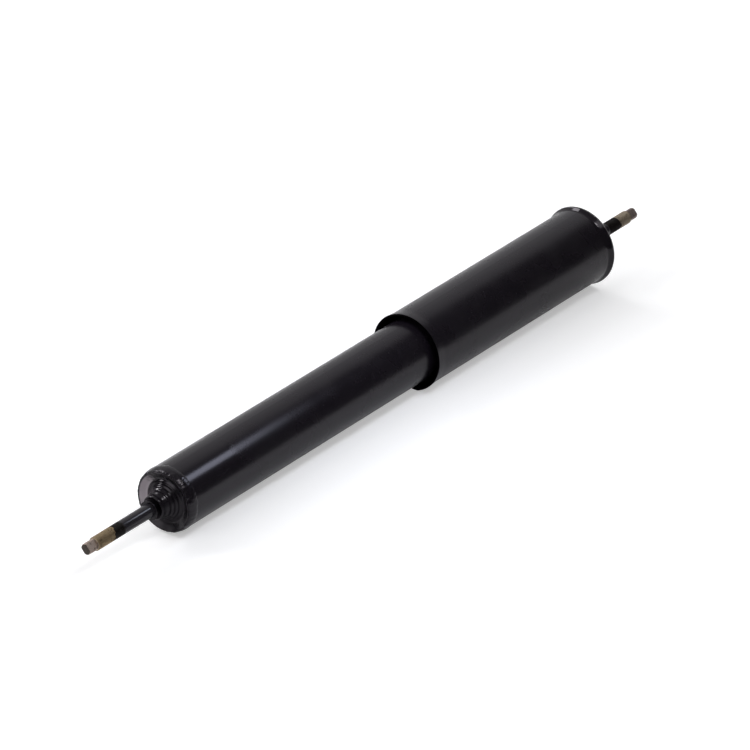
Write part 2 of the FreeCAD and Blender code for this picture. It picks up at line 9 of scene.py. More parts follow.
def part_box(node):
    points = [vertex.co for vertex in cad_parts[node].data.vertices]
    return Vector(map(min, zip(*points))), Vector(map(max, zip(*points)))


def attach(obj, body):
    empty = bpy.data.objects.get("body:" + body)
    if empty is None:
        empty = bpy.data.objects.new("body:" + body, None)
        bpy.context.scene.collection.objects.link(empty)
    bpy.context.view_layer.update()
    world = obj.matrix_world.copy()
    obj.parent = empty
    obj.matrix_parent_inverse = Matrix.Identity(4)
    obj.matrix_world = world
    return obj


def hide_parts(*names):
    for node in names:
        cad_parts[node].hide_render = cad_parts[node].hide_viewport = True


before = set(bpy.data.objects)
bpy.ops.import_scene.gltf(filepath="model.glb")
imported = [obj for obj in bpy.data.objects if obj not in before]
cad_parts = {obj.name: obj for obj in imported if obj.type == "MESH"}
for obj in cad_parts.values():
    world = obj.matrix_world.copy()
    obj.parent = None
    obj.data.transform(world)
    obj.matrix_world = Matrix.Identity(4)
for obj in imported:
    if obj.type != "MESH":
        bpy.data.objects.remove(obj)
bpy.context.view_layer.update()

# Base cup: a forged and turned steel cup whose ringed boss flares into a dish and carries the lower stem.
# It is welded into the reservoir tube and sprayed satin black, glossy on the boss. A pale patch is painted
# on one side of the dish as its bright reflection, and painted shade darkens the collar at the root of the
# stem.
MM = 0.001
MERGE = 0.0005
TURN_STEPS = 96
CUP_STEPS = 192
CUP_SMOOTH = math.radians(40)
SEAT_R = 7.2
SEAT_EDGE = 0.5
BOSS_X = 4.4
# Crests of the rings on the boss, each at its place on the axis and its radius
BOSS_RINGS = ((5.2, 8.8), (10.3, 9.9), (13.5, 11.2), (15.7, 12.8), (17.5, 14.5))
RING_DEPTH = 0.6
DISH_FLOOR = (19.2, 16.0)
RIM_X = 15.1
RIM_EDGE = 0.35
RIM_FALL = 0.3
ROOT_R = 5.6
HEAD_THICK = 5.0
PAINT_BLACK = (0.0066, 0.0050, 0.0076, 1)
PAINT_WORN = (0.0086, 0.0070, 0.0096, 1)
PAINT_ROUGHNESS = (0.25, 0.29)
PAINT_SHINE = 0.30
PAINT_SHEEN = (1.0, 0.94, 1.0, 1)
PAINT_CLOUD = 38.0
CLOUD_TINT = (0.35, 0.70)
CLOUD_GLOSS = (0.30, 0.72)
PEEL = (1.1, 0.012)
DUST_GREY = (0.060, 0.056, 0.056, 1)
DUST_TINT = 0.22
DUST_MATT = 0.20
PAINT_DUST = 0.5
PAINT_SCUFF = 0.08
CUP_DUST = 0.8
# Painted reflection: a pale patch on one side of the dish stands in for the bright reflection there
DISH_PAINTED_LIGHT = (0.52, 0.465, 0.50, 1)
DISH_PAINTED_LIGHT_ROUGHNESS = 0.45
DISH_PAINTED_LIGHT_TURN = math.radians(8)
DISH_PAINTED_LIGHT_SIDE = (0.60, 0.95)
DISH_PAINTED_LIGHT_RAGGED = 0.35
DISH_PAINTED_LIGHT_INNER = (15.4, 16.6)
DISH_PAINTED_LIGHT_OUTER = (20.4, 21.4)
BOSS_GLOSS = (0.38, 0.17)
BOSS_GLOSS_TURN = math.radians(75)
BOSS_GLOSS_SIDE = (-0.1, 0.6)
BOSS_GLOSS_EDGE = (15.0, 16.5)
# Painted shade: near black on the collar round the root of the stem and on the cut end of the dust tube's
# mouth
SHADE_BLACK = (0.0030, 0.0024, 0.0032, 1)
SHADE_ROUGHNESS = 0.6
ROOT_SHADE_TURN = math.radians(139)
ROOT_SHADE_SIDE = (-0.7, 0.2)
ROOT_SHADE_THIN = 0.25
ROOT_SHADE_EDGE = (SEAT_R + 0.6, SEAT_R + 1.2)
ROOT_SHADE_START = (0.2, 0.8)
Place = namedtuple("Place", "point axes off_axis")


def add(tree, kind, inputs=None, **settings):
    """One shader node, with its settings and with a value or another node's output on each input."""
    made = tree.nodes.new("ShaderNode" + kind)
    for key, value in settings.items():
        setattr(made, key, value)
    for key, value in (inputs or {}).items():
        if isinstance(value, bpy.types.NodeSocket):
            tree.links.new(value, made.inputs[key])
        else:
            made.inputs[key].default_value = value
    return made


def calc(tree, operation, *values):
    """Result of one sum on numbers or node outputs."""
    return add(tree, "Math", dict(enumerate(values)), operation=operation).outputs[0]


def eased(tree, value, low, high, start=0.0, end=1.0):
    """Value eased from start to end as it goes from low to high."""
    limits = {"Value": value, "From Min": low, "From Max": high, "To Min": start, "To Max": end}
    return add(tree, "MapRange", limits, interpolation_type="SMOOTHSTEP").outputs[0]


def fading(tree, value, low, high):
    """Share that falls from one to nothing as the value goes from low to high."""
    return eased(tree, value, low, high, 1.0, 0.0)


def blended(tree, share, first, second):
    """Colour that goes from the first to the second as the share rises to one."""
    return add(tree, "Mix", {0: share, 6: first, 7: second}, data_type="RGBA").outputs[2]


def mixed(tree, share, first, second):
    """Number that goes from the first to the second as the share rises to one."""
    return add(tree, "Mix", {0: share, 2: first, 3: second}, data_type="FLOAT").outputs[0]


def place_on(tree):
    """Place on the object in millimetres: the point, its X, Y and Z, and its distance from the axis."""
    point = add(tree, "TexCoord").outputs["Object"]
    point = add(tree, "VectorMath", {0: point, "Scale": 1 / MM}, operation="SCALE").outputs[0]
    axes = add(tree, "SeparateXYZ", {0: point}).outputs
    flat = add(tree, "VectorMath", {0: point, 1: (0, 1, 1)}, operation="MULTIPLY").outputs[0]
    off_axis = add(tree, "VectorMath", {0: flat}, operation="LENGTH").outputs["Value"]
    return Place(point, axes, off_axis)


def new_group(name, inputs, outputs):
    """An empty effect, with the sockets of its inputs and outputs."""
    tree = bpy.data.node_groups.new(name, "ShaderNodeTree")
    for label, value in inputs.items():
        socket = tree.interface.new_socket(label, in_out="INPUT", socket_type="NodeSocketFloat")
        socket.default_value = value
    for label in outputs:
        tree.interface.new_socket(label, in_out="OUTPUT", socket_type="NodeSocketFloat")
    return tree, tree.nodes.new("NodeGroupInput").outputs, tree.nodes.new("NodeGroupOutput").inputs


def effect(tree, group, **values):
    """First output of a shared effect, placed with its own values."""
    return add(tree, "Group", values, node_tree=group).outputs[0]


def new_finish(name):
    """A material, its node tree and its surface shader."""
    finish = bpy.data.materials.new(name)
    finish.use_nodes = True
    return finish, finish.node_tree, finish.node_tree.nodes["Principled BSDF"]


def raised(tree, surface, height, depth):
    """Bumps of that depth in millimetres on the surface."""
    bump = add(tree, "Bump", {"Strength": 1.0, "Distance": depth * MM, "Height": height})
    tree.links.new(bump.outputs[0], surface.inputs["Normal"])


def dress(finish, *nodes):
    """Puts the finish on carried-over pieces."""
    for node in nodes:
        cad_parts[node].data.materials[0] = finish


# Fine unevenness of a sprayed, moulded or cast skin; Size is in millimetres
NOISE_MIDDLE = 0.5
grain, grain_in, grain_out = new_group("skin_grain", {"Size": 1.0, "Detail": 2.0}, ["Height"])
grain_noise = add(grain, "TexNoise", {
    "Vector": place_on(grain).point,
    "Scale": calc(grain, "DIVIDE", 1.0, grain_in["Size"]),
    "Detail": grain_in["Detail"],
})
grain.links.new(grain_noise.outputs[0], grain_out["Height"])

# Dust that lies on top of the absorber, as a thin film with specks in it
FILM_SCALE = 0.045
FILM_EDGE = (0.42, 0.75)
FILM_SHARE = 0.35
SPECK_SCALE = 0.33
SPECK_RARITY = 5.0
SPECK_SIZE = 0.20
DUST_SLOPE = (-0.1, 0.9)
dust, dust_in, dust_out = new_group("settled_dust", {"Amount": 1.0}, ["Mask"])
dust_place = place_on(dust).point
dust_up = add(dust, "SeparateXYZ", {0: add(dust, "TexCoord").outputs["Normal"]}).outputs["Z"]
dust_noise = add(dust, "TexNoise", {"Vector": dust_place, "Scale": FILM_SCALE, "Detail": 6})
dust_film = eased(dust, dust_noise.outputs[0], *FILM_EDGE, 0.0, FILM_SHARE)
dust_cells = add(dust, "TexVoronoi", {"Vector": dust_place, "Scale": SPECK_SCALE})
speck_draw = add(dust, "SeparateColor", {0: dust_cells.outputs["Color"]}).outputs[0]
speck_edge = calc(dust, "MULTIPLY", calc(dust, "POWER", speck_draw, SPECK_RARITY), SPECK_SIZE)
dust_specks = calc(dust, "LESS_THAN", dust_cells.outputs["Distance"], speck_edge)
dust_share = calc(dust, "ADD", dust_film, dust_specks)
dust_lies = calc(dust, "MULTIPLY", dust_share, eased(dust, dust_up, *DUST_SLOPE))
dust.links.new(calc(dust, "MULTIPLY", dust_lies, dust_in["Amount"]), dust_out["Mask"])

# Hairline scuffs from handling, drawn out along the absorber and broken into patches
HAIRLINE = 0.006
HAIRLINE_TURN = (0.3, 0.25, 0.12)
HAIRLINE_STRETCH = (0.014, 0.15, 0.15)
HAIRLINE_PATCH = 0.021
HAIRLINE_PATCH_EDGE = (0.55, 0.68)
scuff, scuff_in, scuff_out = new_group("handling_scuffs", {"Amount": 1.0}, ["Mask"])
scuff_place = place_on(scuff).point
scuff_turned = add(scuff, "Mapping", {
    "Vector": scuff_place,
    "Rotation": HAIRLINE_TURN,
    "Scale": HAIRLINE_STRETCH,
})
scuff_noise = add(scuff, "TexNoise", {"Vector": scuff_turned.outputs[0], "Scale": 1, "Detail": 3})
scuff_line = calc(scuff, "ABSOLUTE", calc(scuff, "SUBTRACT", scuff_noise.outputs[0], NOISE_MIDDLE))
scuff_patch = add(scuff, "TexNoise", {"Vector": scuff_place, "Scale": HAIRLINE_PATCH, "Detail": 2})
scuff_mask = calc(scuff, "MULTIPLY", fading(scuff, scuff_line, 0.0, HAIRLINE),
                  eased(scuff, scuff_patch.outputs[0], *HAIRLINE_PATCH_EDGE))
scuff.links.new(calc(scuff, "MULTIPLY", scuff_mask, scuff_in["Amount"]), scuff_out["Mask"])


def black_paint(name, *marks, dust_amount=PAINT_DUST, painted_shade=None, peel=PEEL):
    """Satin black enamel with orange peel of that size and depth, a little dust and scuffing, and marks.

    A mark is a function of the node tree that gives its mask, its colour or None, and its roughness.
    Painted shade is one that gives its mask alone: near black that mirrors almost nothing, set as a metal
    with no colour."""
    finish, tree, surface = new_finish(name)
    cloud = effect(tree, grain, Size=PAINT_CLOUD, Detail=4.0)
    dusty = effect(tree, dust, Amount=dust_amount)
    colour = blended(tree, eased(tree, cloud, *CLOUD_TINT), PAINT_BLACK, PAINT_WORN)
    colour = blended(tree, calc(tree, "MULTIPLY", dusty, DUST_TINT), colour, DUST_GREY)
    colour = blended(tree, effect(tree, scuff, Amount=PAINT_SCUFF), colour, DUST_GREY)
    rough = eased(tree, cloud, *CLOUD_GLOSS, *PAINT_ROUGHNESS)
    rough = calc(tree, "ADD", rough, calc(tree, "MULTIPLY", dusty, DUST_MATT))
    for mark in marks:
        mask, tint, matt = mark(tree)
        rough = mixed(tree, mask, rough, matt)
        if tint:
            colour = blended(tree, mask, colour, tint)
    # Painted shade: near black, set as a metal of no colour so that it mirrors almost nothing
    if painted_shade:
        mask = painted_shade(tree)
        colour = blended(tree, mask, colour, SHADE_BLACK)
        rough = mixed(tree, mask, rough, SHADE_ROUGHNESS)
        tree.links.new(mask, surface.inputs["Metallic"])
    tree.links.new(colour, surface.inputs["Base Color"])
    tree.links.new(rough, surface.inputs["Roughness"])
    surface.inputs["Specular IOR Level"].default_value = PAINT_SHINE
    surface.inputs["Specular Tint"].default_value = PAINT_SHEEN
    peel_size, peel_depth = peel
    raised(tree, surface, effect(tree, grain, Size=peel_size, Detail=2.0), peel_depth)
    return finish


def toward(tree, angle):
    """How far the surface lies to one side: one at that angle from +Y to +Z, minus one opposite."""
    place = place_on(tree)
    side = calc(tree, "ADD", calc(tree, "MULTIPLY", place.axes["Y"], math.cos(angle)),
                calc(tree, "MULTIPLY", place.axes["Z"], math.sin(angle)))
    return calc(tree, "DIVIDE", side, place.off_axis)


def uneven(tree, reach, **grain_values):
    """Unevenness to both sides of nothing, of that reach, with the grain's own values."""
    off_middle = calc(tree, "SUBTRACT", effect(tree, grain, **grain_values), NOISE_MIDDLE)
    return calc(tree, "MULTIPLY", off_middle, reach)


def dish_painted_light(tree):
    """Painted reflection: a pale, rather matt patch on one side of the dish, in place of its bright
    reflection.
    """
    off_axis = place_on(tree).off_axis
    ragged = uneven(tree, DISH_PAINTED_LIGHT_RAGGED, Size=2.0, Detail=4.0)
    sector = eased(tree, calc(tree, "ADD", toward(tree, DISH_PAINTED_LIGHT_TURN), ragged), *DISH_PAINTED_LIGHT_SIDE)
    dish = calc(tree, "MULTIPLY", eased(tree, off_axis, *DISH_PAINTED_LIGHT_INNER),
                fading(tree, off_axis, *DISH_PAINTED_LIGHT_OUTER))
    return calc(tree, "MULTIPLY", sector, dish), DISH_PAINTED_LIGHT, DISH_PAINTED_LIGHT_ROUGHNESS


def boss_gloss(tree):
    """Paint on the turned rings of the boss, wet and glossy on its upper side and dry below."""
    gloss = eased(tree, toward(tree, BOSS_GLOSS_TURN), *BOSS_GLOSS_SIDE, *BOSS_GLOSS)
    return fading(tree, place_on(tree).off_axis, *BOSS_GLOSS_EDGE), None, gloss


def root_painted_shade(tree):
    """Painted shade on the collar round the root of the stem, heavy on one side and fainter opposite."""
    place = place_on(tree)
    ragged = effect(tree, grain, Size=1.5, Detail=3.0)
    beside = fading(tree, calc(tree, "ADD", place.off_axis, ragged), *ROOT_SHADE_EDGE)
    thick = eased(tree, toward(tree, ROOT_SHADE_TURN), *ROOT_SHADE_SIDE, ROOT_SHADE_THIN, 1.0)
    off_seat = eased(tree, place.axes["X"], *ROOT_SHADE_START)
    return calc(tree, "MULTIPLY", calc(tree, "MULTIPLY", beside, thick), off_seat)


def only(piece):
    """Makes the piece the one that is selected and active."""
    bpy.ops.object.select_all(action="DESELECT")
    bpy.context.view_layer.objects.active = piece
    piece.select_set(True)


def modified(piece, kind, **settings):
    """Adds a modifier with its settings and applies it."""
    only(piece)
    bpy.ops.object.modifier_add(type=kind)
    modifier = piece.modifiers[-1]
    for key, value in settings.items():
        setattr(modifier, key, value)
    bpy.ops.object.modifier_apply(modifier=modifier.name)


def draw_line(name, points):
    """A line in the XZ plane, pulled from one vertex from point to point (x, radius) in millimetres."""
    bpy.ops.object.select_all(action="DESELECT")
    bpy.ops.mesh.primitive_plane_add(size=MM)
    piece = bpy.context.object
    piece.name = name
    bpy.ops.object.mode_set(mode="EDIT")
    bpy.ops.mesh.merge(type="CENTER")
    bpy.ops.transform.translate(value=(points[0][0] * MM, 0, points[0][1] * MM))
    for (x0, r0), (x1, r1) in zip(points, points[1:]):
        step = ((x1 - x0) * MM, 0, (r1 - r0) * MM)
        bpy.ops.mesh.extrude_region_move(TRANSFORM_OT_translate={"value": step})
    return piece


def tidy_mesh(merge=MERGE):
    """In edit mode: merges what coincides, turns every face outwards and leaves edit mode."""
    bpy.ops.mesh.select_all(action="SELECT")
    bpy.ops.mesh.remove_doubles(threshold=merge * MM)
    bpy.ops.mesh.normals_make_consistent(inside=False)
    bpy.ops.object.mode_set(mode="OBJECT")


def turned(name, points, steps=TURN_STEPS):
    """Solid spun about the axis from the line of its half section."""
    piece = draw_line(name, points)
    bpy.ops.mesh.select_all(action="SELECT")
    bpy.ops.mesh.spin(steps=steps, angle=2 * math.pi, center=(0, 0, 0), axis=(1, 0, 0))
    tidy_mesh()
    return piece


def softened(points, steps=6):
    """Smooth line past the corners of another, with a bow from mid-run to mid-run round each corner."""
    line = [points[0]]
    for corner in zip(points, points[1:], points[2:]):
        for step in range(steps + 1):
            share = step / steps
            pull = ((1 - share) ** 2 / 2, 0.5 + share * (1 - share), share ** 2 / 2)
            line.append(tuple(sum(p * point[axis] for p, point in zip(pull, corner)) for axis in (0, 1)))
    return line + [points[-1]]


stem_low, stem_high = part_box("lower_stem")
HEAD_END = stem_high.x / MM
HEAD_R = stem_high.y / MM
CUP_INNER, CUP_R = (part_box("base_cup")[1][axis] / MM for axis in (0, 1))
# Between two crests the boss dips by the depth of its rings, square to the line that joins them
boss = []
for (x0, r0), (x1, r1) in zip(BOSS_RINGS, BOSS_RINGS[1:]):
    slope = math.hypot(x1 - x0, r1 - r0) / RING_DEPTH
    boss += [(x0, r0), ((x0 + x1) / 2 + (r1 - r0) / slope, (r0 + r1) / 2 - (x1 - x0) / slope)]
cup_face = softened([
    (0, ROOT_R), (0, SEAT_R - SEAT_EDGE), (0, SEAT_R), (SEAT_EDGE, SEAT_R), (BOSS_X - SEAT_EDGE, SEAT_R),
    (BOSS_X, SEAT_R), (BOSS_X, SEAT_R + SEAT_EDGE), (BOSS_X, BOSS_RINGS[0][1] - SEAT_EDGE),
    *boss, BOSS_RINGS[-1], DISH_FLOOR,
    (RIM_X + RIM_FALL, CUP_R - 2 * RIM_EDGE), (RIM_X, CUP_R - RIM_EDGE), (RIM_X, CUP_R),
    (RIM_X + RIM_EDGE, CUP_R), (CUP_INNER, CUP_R),
])
head_seat = HEAD_END - HEAD_THICK
base_cup = turned("forged_cup", [
    (CUP_INNER, HEAD_R), (head_seat, HEAD_R), (head_seat, ROOT_R), *cup_face, (CUP_INNER, HEAD_R),
], CUP_STEPS)
bpy.ops.object.shade_smooth_by_angle(angle=CUP_SMOOTH)
cup_paint = black_paint("cup_paint", dish_painted_light, boss_gloss, dust_amount=CUP_DUST, painted_shade=root_painted_shade)
base_cup.data.materials.append(cup_paint)
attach(base_cup, "reservoir")
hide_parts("base_cup")

# Lower stem: a steel stud pushed through the boss from inside and seated on its head, with a rolled
# thread and two spanner flats on its tip. Paint covers the shank and the first threads; the end is bare.
STEM_R = 5.0
STEM_SHANK = 30.0
STEM_THREAD = 28.0
STEM_SMOOTH = math.radians(20)
CREST_R = 4.94
PITCH = 1.25
THREAD_FORM = 0.6134
THREAD_RINGS = 8
CREST_FLAT = 0.125
ROOT_FLAT = 0.25
FLANK = (1 - CREST_FLAT - ROOT_FLAT) / 2
RUN_OUT = 1.3
TIP_R = 4.14
TIP_FLAT = 2.84
TIP_ROUND = 0.9
TIP_STEP = math.pi / 12
FLAT_STEP = 0.05
FLAT_TURN = math.radians(49)
EDGE_BREAK = 0.3
STEM_LENGTH = -stem_low.x / MM
THREAD_END = STEM_SHANK + STEM_THREAD
STEM_PAINT = (0.022, 0.020, 0.024, 1)
STEM_PEEL = 0.006
SHANK_ROUGHNESS = 0.14
THREAD_PAINT = (0.0040, 0.0018, 0.0010, 1)
THREAD_ROUGHNESS = 0.50
LOWER_BARE = 40.0
LOWER_SLANT = 0.25
LOWER_STEEL = ((0.36, 0.285, 0.185, 1), (0.45, 0.365, 0.310, 1))
BARE_END = (0.10, 0.085, 0.075, 1)
BARE_ROUGHNESS = (0.3, 0.7, 0.52, 0.72)
PAINT_RAGGED = 3.0
# Where each change of finish starts and is full, from its place along the stem
PAINT_ENDS = (1.3, 1.7)
THREAD_STARTS = (-0.2, 0.6)
TIP_STARTS = (-0.4, 0.2)
END_STARTS = (-0.25, -0.05)
OIL_BROWN = (0.060, 0.040, 0.024, 1)
OIL_PATCHES = (0.52, 0.72, 0.0, 0.55)
OIL_SPECKS = (0.45, 0.75, 0.0, 0.35)


def rings(low, high, spacing):
    """Places from low to high, evenly spaced and no further apart than the spacing."""
    count = math.ceil(abs(high - low) / spacing)
    return [low + (high - low) * i / count for i in range(count + 1)]


def stem_line(seat, way):
    """Half section of a stem from its seat to its tip: shank, thread blank with its lead, rounded tip."""
    line = [(0, STEM_R), (STEM_SHANK, STEM_R)]
    for place in rings(STEM_SHANK + EDGE_BREAK, THREAD_END, PITCH / THREAD_RINGS):
        line.append((place, min(CREST_R, TIP_R + EDGE_BREAK / 2 + THREAD_END - place)))
    line.append((THREAD_END + FLAT_STEP, TIP_R))
    for turn in rings(0, math.pi / 2, TIP_STEP):
        short = TIP_ROUND * (1 - math.sin(turn))
        inward = TIP_ROUND * (1 - math.cos(turn))
        line.append((STEM_LENGTH - short, TIP_R - inward))
    return [(seat + way * place, radius) for place, radius in line + [(STEM_LENGTH, 0)]]


def cut_thread(piece, start, end, crest, pitch):
    """Cuts a right-hand thread from its run-out at start to the end of the bar, vertex by vertex."""
    way = math.copysign(1, end - start)
    for vertex in piece.data.vertices:
        along = (vertex.co.x / MM - start) * way
        radius = math.hypot(vertex.co.y, vertex.co.z) / MM
        if radius > 0 and 0 < along < abs(end - start) + FLAT_STEP / 2:
            turns = vertex.co.x / MM / pitch - math.atan2(vertex.co.z, vertex.co.y) / (2 * math.pi)
            groove = (abs(turns % 1 - 0.5) - CREST_FLAT / 2) / FLANK
            depth = THREAD_FORM * pitch * min(max(groove, 0), 1) * min(along / RUN_OUT, 1)
            share = min(radius, crest - depth) / radius
            vertex.co.y *= share
            vertex.co.z *= share


def cut_stem(piece, seat, way):
    """Cuts the thread of a stem, and mills the two spanner flats on its tip."""
    cut_thread(piece, seat + way * STEM_SHANK, seat + way * THREAD_END, CREST_R, PITCH)
    out = Vector((0, -math.sin(FLAT_TURN), math.cos(FLAT_TURN)))
    for vertex in piece.data.vertices:
        if (vertex.co.x / MM - seat) * way > THREAD_END + FLAT_STEP / 2:
            off = vertex.co.dot(out)
            vertex.co -= out * (off - min(max(off, -TIP_FLAT * MM), TIP_FLAT * MM))


def past(tree, along, place, fade):
    """Share of the surface that lies past a place along the stem, with its start and end from there."""
    start, end = fade
    return eased(tree, along, place + start, place + end)


def stem_finish(name, seat, way, bare_from, slant, steel_on):
    """Black enamel on the shank and first threads, with an uneven slanted edge, then bare oiled steel.

    The steel has one colour on the thread and one on the tip."""
    finish, tree, surface = new_finish(name)
    axes = place_on(tree).axes
    along = calc(tree, "MULTIPLY", calc(tree, "SUBTRACT", axes["X"], seat), way)
    ragged = effect(tree, grain, Size=2.6, Detail=4.0)
    fine = effect(tree, grain, Size=0.5, Detail=4.0)
    lean = calc(tree, "MULTIPLY", calc(tree, "ADD", axes["Y"], axes["Z"]), slant)
    edge = calc(tree, "ADD", calc(tree, "ADD", along, lean), calc(tree, "MULTIPLY", ragged, PAINT_RAGGED))
    bare = past(tree, edge, bare_from, PAINT_ENDS)
    on_thread = past(tree, along, STEM_SHANK, THREAD_STARTS)
    on_tip = past(tree, along, THREAD_END, TIP_STARTS)
    on_end = past(tree, along, STEM_LENGTH, END_STARTS)
    paint = blended(tree, on_thread, STEM_PAINT, THREAD_PAINT)
    steel = blended(tree, on_end, blended(tree, on_tip, *steel_on), BARE_END)
    steel = blended(tree, eased(tree, ragged, *OIL_PATCHES), steel, OIL_BROWN)
    steel = blended(tree, eased(tree, fine, *OIL_SPECKS), steel, OIL_BROWN)
    painted_rough = mixed(tree, on_thread, SHANK_ROUGHNESS, THREAD_ROUGHNESS)
    bare_rough = eased(tree, fine, *BARE_ROUGHNESS)
    surface.inputs["Specular IOR Level"].default_value = PAINT_SHINE
    raised(tree, surface, fine, STEM_PEEL)
    colour = blended(tree, bare, paint, steel)
    rough = mixed(tree, bare, painted_rough, bare_rough)
    return finish, tree, surface, colour, rough, bare


def end_finish(tree, surface, colour, rough, metal):
    """Links a finished colour, roughness and share of bare metal to the surface."""
    tree.links.new(colour, surface.inputs["Base Color"])
    tree.links.new(rough, surface.inputs["Roughness"])
    tree.links.new(metal, surface.inputs["Metallic"])


lower_stem = turned("lower_stud", [
    (HEAD_END, 0), (HEAD_END, HEAD_R - EDGE_BREAK), (HEAD_END - EDGE_BREAK, HEAD_R), (head_seat, HEAD_R),
    (head_seat, ROOT_R), (0, ROOT_R), *stem_line(0, -1),
])
cut_stem(lower_stem, 0, -1)
bpy.ops.object.shade_smooth_by_angle(angle=STEM_SMOOTH)
stud_finish, *stud_layers = stem_finish("lower_stem_finish", 0, -1, LOWER_BARE, LOWER_SLANT, LOWER_STEEL)
end_finish(*stud_layers)
lower_stem.data.materials.append(stud_finish)
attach(lower_stem, "reservoir")
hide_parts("lower_stem")

# Reservoir tube: drawn steel, welded to the cup at its foot and rolled over the seal cover at its top.
# It is painted outside after assembly. The coat came out glossier near the hot weld, and has a scuff
# where that ends.
GLOSS_END = 76.0
GLOSS_FADE = 2.0
GLOSS_RAGGED = 9.0
GLOSS_ROUGHNESS = 0.21
SCUFF_PLACE = (76.0, -13.6, 19.1)
SCUFF_REACH = 4.5
SCUFF_CORE = 0.4
SCUFF_SHARE = 0.8
SCUFF_LINES = (0.46, 0.58)
SCUFF_GREY = (0.075, 0.075, 0.088, 1)
SCUFF_ROUGHNESS = 0.42
TUBE_DUST = 0.45
tube_low, tube_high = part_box("reservoir_tube")


def foot_gloss(tree):
    """Glossier paint near the weld, which ends unevenly."""
    ragged = uneven(tree, GLOSS_RAGGED, Size=2.2, Detail=3.0)
    edge = calc(tree, "ADD", place_on(tree).axes["X"], ragged)
    return fading(tree, edge, GLOSS_END - GLOSS_FADE, GLOSS_END + GLOSS_FADE), None, GLOSS_ROUGHNESS


def foot_scuff(tree):
    """Patch of fine pale scratches on top of the tube."""
    ends = {0: place_on(tree).point, 1: SCUFF_PLACE}
    off = add(tree, "VectorMath", ends, operation="DISTANCE").outputs["Value"]
    broken = eased(tree, effect(tree, grain, Size=0.9, Detail=5.0), *SCUFF_LINES)
    near = eased(tree, off, SCUFF_REACH * SCUFF_CORE, SCUFF_REACH, SCUFF_SHARE, 0.0)
    return calc(tree, "MULTIPLY", broken, near), SCUFF_GREY, SCUFF_ROUGHNESS


dress(black_paint("tube_paint", foot_gloss, foot_scuff, dust_amount=TUBE_DUST), "reservoir_tube")

# Foot weld: one run of arc weld round the step from the cup's rim to the tube, left as laid under the
# paint. Each ripple is a puddle that froze over the one before it.
WELD_RIPPLES = 62
WELD_SKIN = 0.28
WELD_PEEL = (0.9, 0.12)
WELD_GLOSS = 0.09
WELD_PATCHES = (0.30, 0.60, 0.4, 1.0)
WELD_SMOOTH = math.radians(60)
BEAD_STEPS = 144
BEAD_DEPTH = 1.0
# Foot and toe of the bead: how far each stops short along the axis, and its height on the cup or tube
BEAD_FOOT = (0.3, 0.05)
BEAD_TOE = (0.2, -0.08)
# Crown of the bead under its ripples: each point from the foot of the tube, and down from the weld's top
BEAD_CROWN = ((-2.1, 1.3), (-0.3, 0.6), (1.4, 0.25), (2.9, 0.3))
PUDDLE_SIZE = (4.6, 3.2, 1.0)
PUDDLE_LAP = math.radians(2.5)
PUDDLE_SHIFT = 0.10
PUDDLE_DEPTH = 1.40
# How the welder's hand varies from puddle to puddle
STRAY_ROUND = 0.18
STRAY_ALONG = 0.25
STRAY_DEPTH = 0.03
STRAY_TILT = (-8, -6)
STRAY_SWAY = (-7, 7)
STRAY_SIZE = ((0.92, 1.05), (0.85, 1.15), (0.92, 1.08))
WELDER_SEED = 7
weld_low, weld_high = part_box("foot_weld")
WELD_START = weld_low.x / MM
WELD_END = weld_high.x / MM
WELD_MIDDLE = (WELD_START + WELD_END) / 2
WELD_TOP = weld_high.y / MM
TUBE_R = tube_high.y / MM
TUBE_FOOT = tube_low.x / MM


def weld_gloss(tree):
    """Paint that ran together glossy on the ripples, in patches."""
    return eased(tree, effect(tree, grain, Size=4.0, Detail=2.0), *WELD_PATCHES), None, WELD_GLOSS


bead_start = WELD_START + BEAD_FOOT[0]
bead_end = WELD_END - BEAD_TOE[0]
bead = turned("weld_bead", [
    (bead_start, CUP_R - BEAD_DEPTH), (bead_start, CUP_R + BEAD_FOOT[1]),
    *((TUBE_FOOT + along, WELD_TOP - down) for along, down in BEAD_CROWN),
    (bead_end, TUBE_R + BEAD_TOE[1]), (bead_end, TUBE_R - BEAD_DEPTH), (bead_start, CUP_R - BEAD_DEPTH),
], BEAD_STEPS)
bpy.ops.object.select_all(action="DESELECT")
bpy.ops.mesh.primitive_uv_sphere_add(segments=20, ring_count=12, radius=MM)
puddle = bpy.context.object
bpy.ops.object.mode_set(mode="EDIT")
bpy.ops.mesh.select_all(action="SELECT")
bpy.ops.transform.resize(value=PUDDLE_SIZE)
bpy.ops.transform.rotate(value=PUDDLE_LAP, orient_axis="X", center_override=(0, 0, 0))
bpy.ops.object.mode_set(mode="OBJECT")
welder = random.Random(WELDER_SEED)
puddles = []
for i in range(WELD_RIPPLES):
    copy = puddle.copy()
    copy.data = puddle.data.copy()
    bpy.context.scene.collection.objects.link(copy)
    turn = 2 * math.pi * (i + welder.uniform(-STRAY_ROUND, STRAY_ROUND)) / WELD_RIPPLES
    along = WELD_MIDDLE + PUDDLE_SHIFT + welder.uniform(-STRAY_ALONG, STRAY_ALONG)
    lift = WELD_TOP - PUDDLE_DEPTH + welder.uniform(-STRAY_DEPTH, STRAY_DEPTH)
    tilt = math.radians(welder.uniform(*STRAY_TILT))
    sway = math.radians(welder.uniform(*STRAY_SWAY))
    copy.location = (along * MM, -lift * math.sin(turn) * MM, lift * math.cos(turn) * MM)
    copy.rotation_mode = "YZX"
    copy.rotation_euler = (turn, tilt, sway)
    copy.scale = [welder.uniform(*limits) for limits in STRAY_SIZE]
    puddles.append(copy)
bpy.data.objects.remove(puddle)
only(bead)
for copy in puddles:
    copy.select_set(True)
bpy.ops.object.join()
modified(bead, "REMESH", mode="VOXEL", voxel_size=WELD_SKIN * MM)
modified(bead, "SMOOTH", iterations=3)
bpy.ops.object.shade_smooth_by_angle(angle=WELD_SMOOTH)
weld_paint = black_paint("weld_paint", weld_gloss, peel=WELD_PEEL)
bead.data.materials.clear()
bead.data.materials.append(weld_paint)
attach(bead, "reservoir")
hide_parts("foot_weld")

